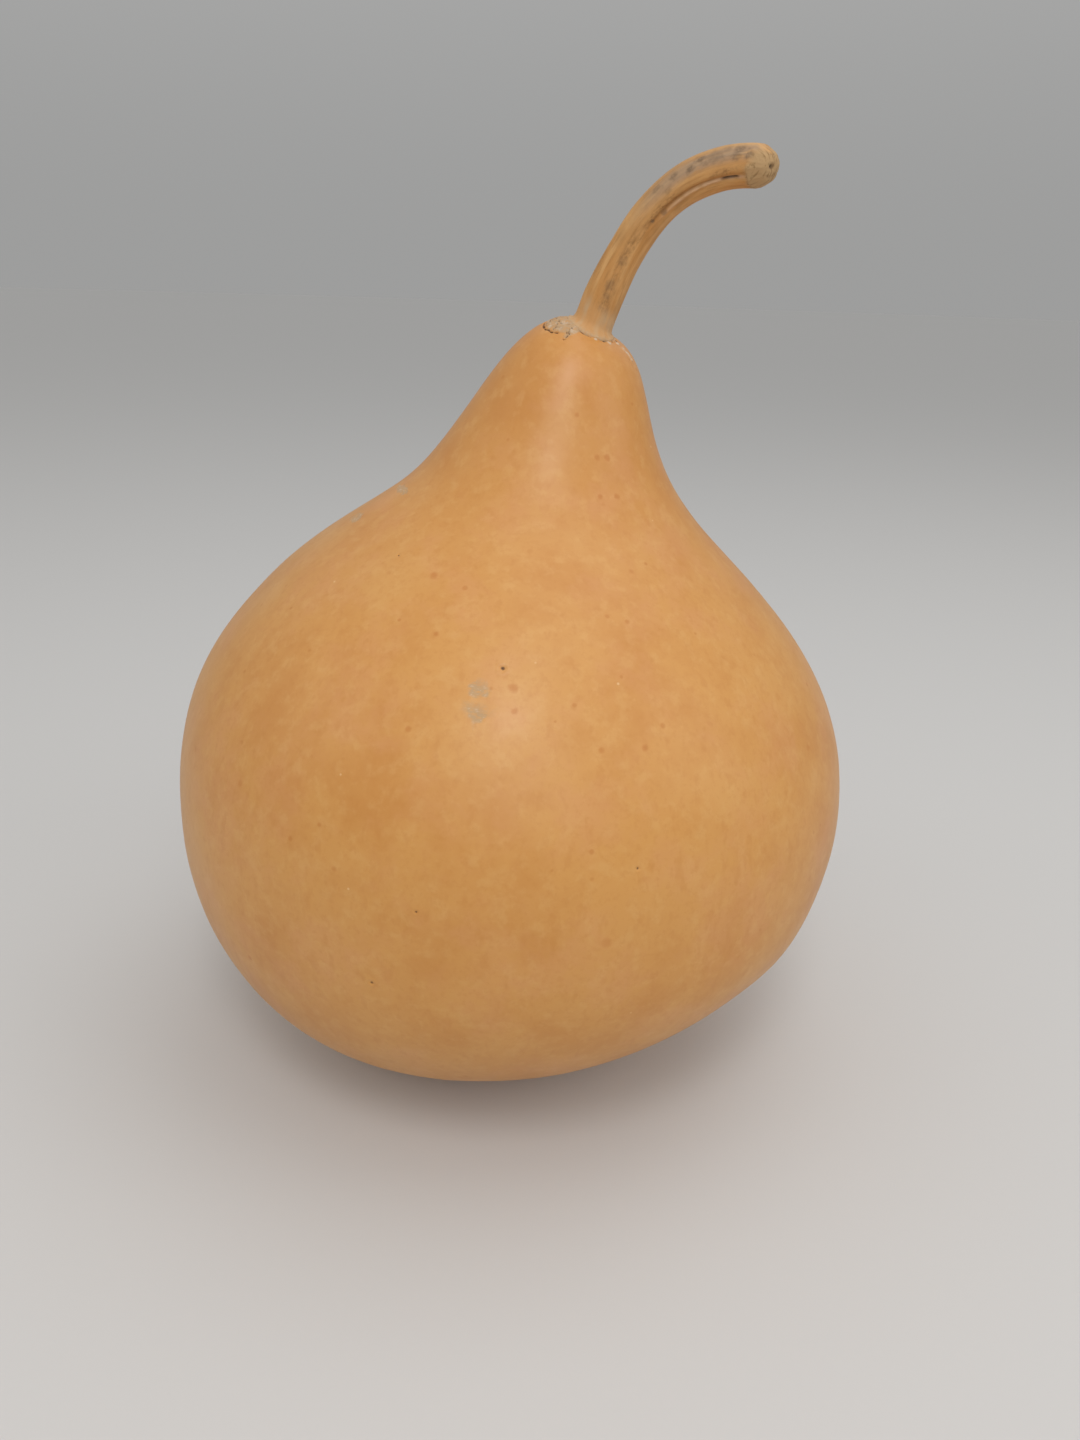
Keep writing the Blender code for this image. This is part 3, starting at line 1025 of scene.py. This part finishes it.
def model_stalk(settings, ground):
    """Rolls a grid up along the stalk's route, from under its foot to its cut end."""
    rows = stalk_rows()
    bpy.ops.object.select_all(action="DESELECT")
    bpy.ops.mesh.primitive_grid_add(
        x_subdivisions=STALK_SIDES,
        y_subdivisions=len(rows) - 1,
        size=1.0,
        location=(0.0, 0.0, 0.0),
    )
    piece = bpy.context.view_layer.objects.active
    piece.name = piece.data.name = "dry_stalk"
    flat = places_of(piece)
    angle = 360.0 * (flat[:, 0] + 0.5)
    row = np.rint((flat[:, 1] + 0.5) * (len(rows) - 1)).astype(int)
    kind = np.array([name for name, _ in rows])[row]
    share = np.array([value for _, value in rows])[row]

    line, run, pointing, length = stalk_line()
    line_along = np.gradient(line, axis=0)
    line_along /= np.linalg.norm(line_along, axis=1)[:, None]
    cut = np.array(Matrix.Rotation(-STALK_CUT_ANGLE, 3, "Z") @ pointing)
    to_tip = np.array(pointing)

    def frame_at(s):
        middle = np.stack([np.interp(s, run, line[:, k]) for k in range(3)], 1)
        along = np.stack([np.interp(s, run, line_along[:, k]) for k in range(3)], 1)
        along /= np.linalg.norm(along, axis=1)[:, None]
        side = np.cross(np.array((0.0, 1.0, 0.0)), along)
        side /= np.linalg.norm(side, axis=1)[:, None]
        front = np.cross(along, side)
        return middle, side, front

    cosine, sine = np.cos(np.radians(angle)), np.sin(np.radians(angle))

    def spoke_at(s):
        middle, side, front = frame_at(s)
        return middle, cosine[:, None] * side + sine[:, None] * front

    def radius_at(s):
        swelling = settings.tip_radius - settings.radius
        plain = settings.radius + swelling * rise(0.35, 1.0, s / length)
        plain -= settings.flattening * 0.5 * (1.0 - cosine) * rise(6.0 * MM, 24.0 * MM, s)
        push, *_ = stalk_relief(angle, s, settings)
        lumps = np.stack([cosine * 5.0 * MM, sine * 5.0 * MM, s * 0.4], 1)
        fibres = np.stack([cosine * 5.0 * MM, sine * 5.0 * MM, s * 0.09], 1)
        rough = 0.16 * MM * clouds(lumps, 4.5 * MM, 2.0)
        rough = rough + 0.07 * MM * rough_clouds(fibres, 0.9 * MM, 3, 6.0)
        return plain + push + rough

    skirt = skirt_edge(angle)
    climb_to = (3.0 + 1.9 * lobe(angle, 180.0, 70.0, 4) - 1.2 * lobe(angle, 0.0, 50.0)) * MM

    # The side ends a rounding short of the sloping cut, so it is longer on one side.
    end_radius = radius_at(np.full(len(angle), length))
    _, end_spoke = spoke_at(np.full(len(angle), length))
    slide = -(end_spoke @ cut) / (to_tip @ cut)
    side_end = length + end_radius * slide - settings.rim_round

    s = np.select(
        [kind == "under", kind == "skirt", kind == "wall"],
        [0.0 * share, climb_to * share**1.7, climb_to + (side_end - climb_to) * share],
        side_end,
    )
    radius = radius_at(s)
    middle, spoke = spoke_at(s)
    points = middle + radius[:, None] * spoke

    # The foot spreads in a hollow curve until it is level with the crown.
    flare = (skirt - radius) * (1.0 - share) ** 2.6
    spread = kind == "skirt"
    points[spread] += (flare[:, None] * spoke)[spread]
    under = kind == "under"
    points[under] = (skirt * share)[under][:, None] * spoke[under]
    points[under, 2] = -1.4 * MM * (1.0 - 0.55 * share[under] ** 3)
    drop = np.zeros(len(points))
    for i in np.nonzero(spread | (under & (share > 0.5)))[0]:
        start = CROWN @ Vector((points[i, 0], points[i, 1], 8.0 * MM))
        down = CROWN.to_3x3() @ Vector((0.0, 0.0, -1.0))
        hit = ground.ray_cast(start, down)[0]
        if hit is not None:
            drop[i] = (CROWN.inverted() @ hit).z
    settle = np.where(spread, (1.0 - share) ** 1.5, 1.0)
    points[:, 2] += drop * settle
    edge = np.where(spread, np.exp(-share * SKIRT_ROWS / 1.2), 0.0)
    points[:, 2] -= (0.25 * MM) * edge * rise(-0.2, 0.4, clouds(points, 1.5 * MM, 31.0))
    points[spread, 2] += 0.12 * MM * (1.0 - edge[spread]) * (1.0 - share[spread])

    # Round the rim over into the cut end.
    rim = kind == "rim"
    cap = kind == "cut"
    bend = np.radians(90.0 * share)
    inward = np.where(rim, settings.rim_round * (1.0 - np.cos(bend)), settings.rim_round)
    below = np.where(rim, settings.rim_round * (1.0 - np.sin(bend)), 0.0)
    within = (end_radius - settings.rim_round) * (1.0 - share)
    face_radius = np.where(cap, within, end_radius - inward)
    flat_spoke = end_spoke + slide[:, None] * to_tip
    on_face = np.array(STALK_TIP) + face_radius[:, None] * flat_spoke - below[:, None] * to_tip
    across = face_radius * cosine
    upward = face_radius * sine
    in_face = np.stack([across, upward, 0.0 * across], 1)
    hatch = np.stack([across * 0.35 + upward * 0.1, upward, 0.0 * across], 1)
    saw = rough_clouds(hatch, 0.9 * MM, 3, 41.0)
    pores = np.clip(clouds(in_face, 0.7 * MM, 43.0) - 0.25, 0.0, 1.0)
    pith_away = np.hypot(across - PITH_ACROSS, upward + PITH_BELOW) / PITH_RADIUS
    pith = np.exp(-(pith_away**2))
    facing = rise(0.3, 1.0, np.where(cap, 1.0, np.where(rim, share, 0.0)))
    crowned = CUT_DOME * (1.0 - (face_radius / end_radius) ** 2)
    height = crowned + 0.08 * MM * saw - 0.16 * MM * pores - 0.7 * MM * pith * (kind == "cut")
    on_face += (height * facing)[:, None] * cut
    end = rim | cap
    points[end] = on_face[end]

    _, ridges, lip, groove, slit = stalk_relief(angle, s, settings)
    lumps = np.stack([cosine * 5.4 * MM, sine * 5.4 * MM, s], 1)
    along = s / MM
    blotch = rough_clouds(lumps, 2.1 * MM, 2, 51.0)
    film = rough_clouds(lumps * np.array((1.0, 1.0, 0.4)), 3.6 * MM, 4, 53.0)
    upper = lobe(angle, -127.0, 27.0, 4) + lobe(angle, 127.0, 30.0, 4)
    upper = upper + 0.4 * lobe(angle, 180.0, 22.0, 4)
    upper = upper * rise(24.0, 42.0, along)
    weather = np.clip(upper, 0.0, 1.0) * rise(-0.9, -0.1, film)
    mould = np.clip(upper, 0.0, 1.0) * rise(-0.02, 0.46, blotch + 0.2 * film)
    mould = mould * (0.4 + 0.6 * rise(32.0, 46.0, along))
    mould *= 0.45
    edges = 0.35 * clouds(lumps, 0.9 * MM, 55.0)
    for run_to, turn, wide, strength in STALK_SPOTS:
        around = np.radians(turn_gap(angle, turn)) * settings.radius
        away = np.hypot((s - run_to) * 0.85, around) / wide + edges
        mould = np.maximum(mould, strength * (1.0 - rise(0.45, 1.2, away)))
    low_band = lobe(angle, -84.0, 17.0, 4) * rise(3.0, 7.0, along) * (1.0 - rise(24.0, 32.0, along))
    low_band += lobe(angle, -78.0, 11.0, 4) * rise(24.0, 32.0, along)
    low_band += 0.7 * lobe(angle, 60.0, 24.0, 4) * rise(3.0, 9.0, along)
    mottle = low_band * rise(-0.55, 0.35, film + 0.3 * blotch)
    on_side = np.where(end, 1.0 - facing, 1.0)
    past_rim = np.select([rim, cap], [1.9 * share, 1.9 + 4.0 * share], along - side_end / MM)
    ragged_rim = rise(-1.3, 0.3, past_rim + 0.7 * blotch - 2.0 * lobe(angle, 180.0, 75.0))
    broken = rise(-0.6, 0.2, clouds(lumps, 2.6 * MM, 57.0))
    outermost = np.exp(-share * SKIRT_ROWS / (2.0 + 4.0 * lobe(angle, -165.0, 60.0)))
    point_values = {
        "weather": weather * on_side,
        "mould": mould * (1.0 - 0.8 * ragged_rim) * on_side,
        "mottle": mottle * on_side,
        "ridge": np.clip(np.maximum(ridges, lip), 0.0, 1.0) * on_side,
        "lip": np.clip(lip * broken, 0.0, 1.0) * on_side,
        "groove": np.clip(groove, 0.0, 1.0) * on_side,
        # The slit mask also takes the pores and the pith, and marks where shade is painted.
        "slit": np.clip(slit * on_side + 0.45 * pores * facing + 0.75 * pith * cap, 0.0, 1.0),
        "cut_end": ragged_rim,
        "foot": np.where(spread | under, 1.0, 1.0 - rise(0.5 * MM, 5.0 * MM, s - climb_to)),
        "foot_edge": np.where(under, 1.0, np.where(spread, outermost, 0.0)),
    }
    for name, values in point_values.items():
        keep_values(piece, name, values)
    straight = np.stack([cosine * 5.4 * MM, sine * 5.4 * MM, s], 1)
    straight[end] = np.stack([across, upward, np.full(len(angle), length)], 1)[end]
    store = piece.data.attributes.new("straightened", "FLOAT_VECTOR", "POINT")
    store.data.foreach_set("vector", straight.astype(np.float32).ravel())

    placed = np.array([CROWN @ Vector(p) for p in points])
    place_points(piece, placed)
    bpy.ops.object.mode_set(mode="EDIT")
    bpy.ops.mesh.select_all(action="SELECT")
    bpy.ops.mesh.remove_doubles(threshold=MERGE_DISTANCE)
    bpy.ops.mesh.normals_make_consistent(inside=False)
    bpy.ops.object.mode_set(mode="OBJECT")
    bpy.ops.object.shade_smooth()
    return piece


def finish_bark(settings):
    """Dry fibrous bark with rubbed ridges, weathering, a straw-coloured cut end, and painted shade
    in its slit, pores and pith.
    """
    bark = Finish("dry_bark")
    straight = bark.kept("straightened", "Vector")
    lengthwise = bark.stretched(straight, (1.0, 1.0, 0.10))
    fibres = bark.cloud(lengthwise, 0.8 * MM, 3.0, 0.6)
    strands = bark.cloud(lengthwise, 2.4 * MM, 3.0, 0.55)
    patchy = bark.cloud(bark.stretched(straight, (1.0, 1.0, 0.4)), 5.0 * MM, 3.0, 0.6)
    grit = bark.cloud(straight, 0.55 * MM, 2.0, 0.6)

    colour = bark.mix(bark.climb(0.38, 0.66, strands), settings.bark, settings.ridge)
    colour = bark.mix(bark.climb(0.45, 0.72, patchy) * 0.4, colour, settings.groove)
    colour = bark.mix(bark.kept("ridge") * 0.6, colour, settings.ridge)
    colour = bark.mix(bark.climb(0.50, 0.74, fibres) * 0.35, colour, settings.groove)
    colour = bark.mix(bark.kept("groove") * 0.38, colour, settings.groove)
    speckles = bark.cloud(bark.stretched(straight, (1.0, 1.0, 0.6)), 0.75 * MM, 3.0, 0.7)
    speckled = bark.climb(0.42, 0.62, speckles)
    colour = bark.mix(bark.kept("lip") * 0.6, colour, RUBBED_LIP)
    colour = bark.mix(bark.kept("mottle") * (0.2 + speckled * 0.5), colour, settings.groove)
    colour = bark.mix(bark.kept("weather") * (0.5 + fibres * 0.4), colour, settings.weathered)
    mould = bark.kept("mould") * (0.55 + bark.climb(0.3, 0.6, grit) * 0.45)
    colour = bark.mix(mould * 0.8, colour, settings.mould)
    foot_colour = bark.mix(bark.climb(0.42, 0.65, patchy), FOOT_TAN, FOOT_PALE)
    colour = bark.mix(bark.kept("foot") * 0.75, colour, foot_colour)
    edging = bark.kept("foot_edge") * (0.35 + bark.climb(0.4, 0.6, grit) * 0.5)
    colour = bark.mix(edging, colour, FOOT_EDGE)

    cut = bark.kept("cut_end")
    chips = bark.cloud(bark.stretched(straight, (0.45, 1.5, 1.0)), 0.8 * MM, 2.0, 0.55)
    straw = bark.mix(bark.climb(0.51, 0.66, chips) * 0.8, settings.straw, BROWN_STRAW)
    colour = bark.mix(cut, colour, straw)
    # Painted shade inside the slit, the pores and the sunken pith.
    colour = bark.mix(bark.kept("slit") * 0.95, colour, SLIT_SHADE)

    rough = 0.58 + fibres * 0.15 + cut * 0.15 + mould * 0.1
    bark.set_shader(Base_Color=colour, Roughness=rough, IOR=1.45)
    relief = fibres * 1.0 + strands * 0.8 + grit * 0.5 + cut * chips * 1.5 - mould * 0.3
    bark.bump(relief, 0.12 * MM, 0.9)
    return bark.material


class CALABASH_OT_make_gourd(bpy.types.Operator):
    """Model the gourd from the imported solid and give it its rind"""

    bl_idname = "calabash.make_gourd"
    bl_label = "Make the gourd"

    def execute(self, context):
        settings = context.scene.calabash_gourd
        piece, freckles = model_gourd(settings)
        piece.data.materials.append(finish_rind(settings, freckles))
        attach(piece, "root")
        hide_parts("gourd")
        return {"FINISHED"}


class CALABASH_OT_make_stalk(bpy.types.Operator):
    """Model the stalk on the gourd's crown and give it its bark"""

    bl_idname = "calabash.make_stalk"
    bl_label = "Make the stalk"

    def execute(self, context):
        settings = context.scene.calabash_stalk
        gourd = context.scene.objects["dried_gourd"]
        ground = BVHTree.FromObject(gourd, context.evaluated_depsgraph_get())
        piece = model_stalk(settings, ground)
        piece.data.materials.append(finish_bark(settings))
        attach(piece, "root")
        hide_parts("stem")
        return {"FINISHED"}


def make_floor(settings):
    """A wide round floor of matt paper."""
    bpy.ops.object.select_all(action="DESELECT")
    bpy.ops.mesh.primitive_circle_add(
        vertices=96, radius=FLOOR_RADIUS, fill_type="NGON", location=(0.0, 0.0, 0.0)
    )
    floor = bpy.context.view_layer.objects.active
    floor.name = floor.data.name = "floor"
    bpy.ops.object.mode_set(mode="EDIT")
    bpy.ops.mesh.select_all(action="SELECT")
    bpy.ops.mesh.normals_make_consistent(inside=False)
    bpy.ops.object.mode_set(mode="OBJECT")
    paper = Finish("matt_paper")
    tooth = paper.cloud(paper.here, 2.0 * MM, 3.0, 0.6)
    low = tuple(0.985 * c for c in settings.floor_colour)
    paper.set_shader(
        Base_Color=paper.mix(tooth, low, settings.floor_colour),
        Roughness=0.8 + tooth * 0.1,
    )
    floor.data.materials.append(paper.material)


def make_sky(settings):
    """Even light from all round, as bright as the far floor where it meets it."""
    world = bpy.data.worlds.new("soft_sky")
    world.use_nodes = True
    nodes, links = world.node_tree.nodes, world.node_tree.links
    place = nodes.new("ShaderNodeTexCoord")
    parts = nodes.new("ShaderNodeSeparateXYZ")
    height = nodes.new("ShaderNodeMapRange")
    height.interpolation_type = "SMOOTHSTEP"
    height.inputs["From Min"].default_value = 0.02
    height.inputs["From Max"].default_value = 0.75
    blend = nodes.new("ShaderNodeMix")
    blend.data_type = "RGBA"
    blend.inputs[6].default_value = (*settings.low_sky, 1.0)
    blend.inputs[7].default_value = (*settings.high_sky, 1.0)
    links.new(place.outputs["Generated"], parts.inputs[0])
    links.new(parts.outputs["Z"], height.inputs["Value"])
    links.new(height.outputs["Result"], blend.inputs[0])
    links.new(blend.outputs[2], nodes["Background"].inputs["Color"])
    bpy.context.scene.world = world


def add_softbox(name, place, aim, size, power, colour):
    """A square area light at a place, turned to its aim."""
    bpy.ops.object.light_add(type="AREA", location=place)
    lamp = bpy.context.view_layer.objects.active
    lamp.name = lamp.data.name = name
    lamp.data.shape = "SQUARE"
    lamp.data.size = size
    lamp.data.energy = power
    lamp.data.color = colour
    lamp.rotation_euler = (Vector(aim) - Vector(place)).to_track_quat("-Z", "Y").to_euler()


def add_camera(settings):
    """A close camera that looks slightly down at the fruit."""
    bpy.ops.object.camera_add(location=CAMERA_PLACE)
    camera = bpy.context.view_layer.objects.active
    camera.name = camera.data.name = "camera"
    camera.data.sensor_width = SENSOR_WIDTH
    camera.data.lens = settings.lens
    camera.data.clip_start = 0.01
    looking = Matrix.Rotation(math.radians(90.0) - settings.pitch, 3, "X")
    rolled = looking @ Matrix.Rotation(settings.roll, 3, "Z")
    camera.rotation_euler = rolled.to_euler()
    bpy.context.scene.camera = camera


class CALABASH_OT_set_stage(bpy.types.Operator):
    """Set up the floor, the soft lights and the camera"""

    bl_idname = "calabash.set_stage"
    bl_label = "Set the stage"

    def execute(self, context):
        settings = context.scene.calabash_stage
        make_floor(settings)
        make_sky(settings)
        for name, place, size, power, colour in SOFTBOXES:
            add_softbox(name, place, STAGE_MIDDLE, size, getattr(settings, power), colour)
        context.scene.view_settings.view_transform = "Standard"
        add_camera(settings)
        return {"FINISHED"}


class CALABASH_PT_workshop(bpy.types.Panel):
    """Lists the steps and their settings"""

    bl_idname = "CALABASH_PT_workshop"
    bl_label = "Calabash"
    bl_space_type = "VIEW_3D"
    bl_region_type = "UI"
    bl_category = "Calabash"

    def draw(self, context):
        for step, group in STEPS:
            box = self.layout.box()
            settings = getattr(context.scene, group)
            for name in settings.__annotations__:
                box.prop(settings, name)
            box.operator(step)


STEPS = (
    ("calabash.make_gourd", "calabash_gourd"),
    ("calabash.make_stalk", "calabash_stalk"),
    ("calabash.set_stage", "calabash_stage"),
)
CLASSES = (
    GourdSettings,
    StalkSettings,
    StageSettings,
    CALABASH_OT_make_gourd,
    CALABASH_OT_make_stalk,
    CALABASH_OT_set_stage,
    CALABASH_PT_workshop,
)


def register():
    for kind in CLASSES:
        bpy.utils.register_class(kind)
    bpy.types.Scene.calabash_gourd = PointerProperty(type=GourdSettings)
    bpy.types.Scene.calabash_stalk = PointerProperty(type=StalkSettings)
    bpy.types.Scene.calabash_stage = PointerProperty(type=StageSettings)


def unregister():
    del bpy.types.Scene.calabash_stage
    del bpy.types.Scene.calabash_stalk
    del bpy.types.Scene.calabash_gourd
    for kind in reversed(CLASSES):
        bpy.utils.unregister_class(kind)


def main():
    register()
    bpy.ops.calabash.make_gourd()
    bpy.ops.calabash.make_stalk()
    bpy.ops.calabash.set_stage()


if __name__ == "__main__":
    main()
